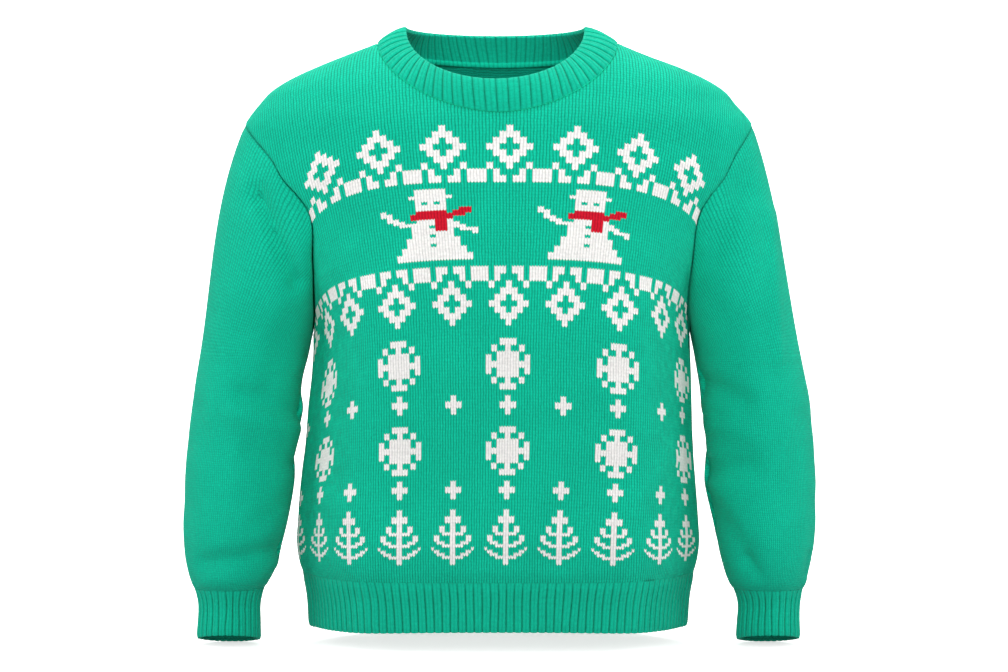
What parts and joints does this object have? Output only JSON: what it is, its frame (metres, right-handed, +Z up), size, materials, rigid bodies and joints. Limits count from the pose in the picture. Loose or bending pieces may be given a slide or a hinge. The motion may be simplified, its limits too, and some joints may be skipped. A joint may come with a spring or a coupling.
{
  "type": "christmas sweater",
  "caption": "Knitted crew-neck pullover with long sleeves, ribbed neck, hem and cuffs and a winter colour-work front, filled out as worn.",
  "frame": {"origin": "midway between the two points where shoulder and neck meet, where the wearer's shoulders hold the sweater up", "axes": "+Z up, the front faces -Y, +X is on the right of someone looking at the front"},
  "size_m": [0.695, 0.2485, 0.6799],
  "materials": {
    "green_knit": "matt plain knit in emerald green yarn",
    "front_knit": "matt plain knit in emerald green yarn with white and red colour-work",
    "green_rib": "matt one-by-one rib in emerald green yarn"
  },
  "bodies": {
    "root": {"front_panel": "front_knit", "back_panel": "green_knit", "sleeve_left": "green_knit", "sleeve_right": "green_knit", "cuff_left": "green_rib", "cuff_right": "green_rib", "hem_front": "green_rib", "hem_back": "green_rib", "neckband": "green_rib"}
  },
  "joints": []
}
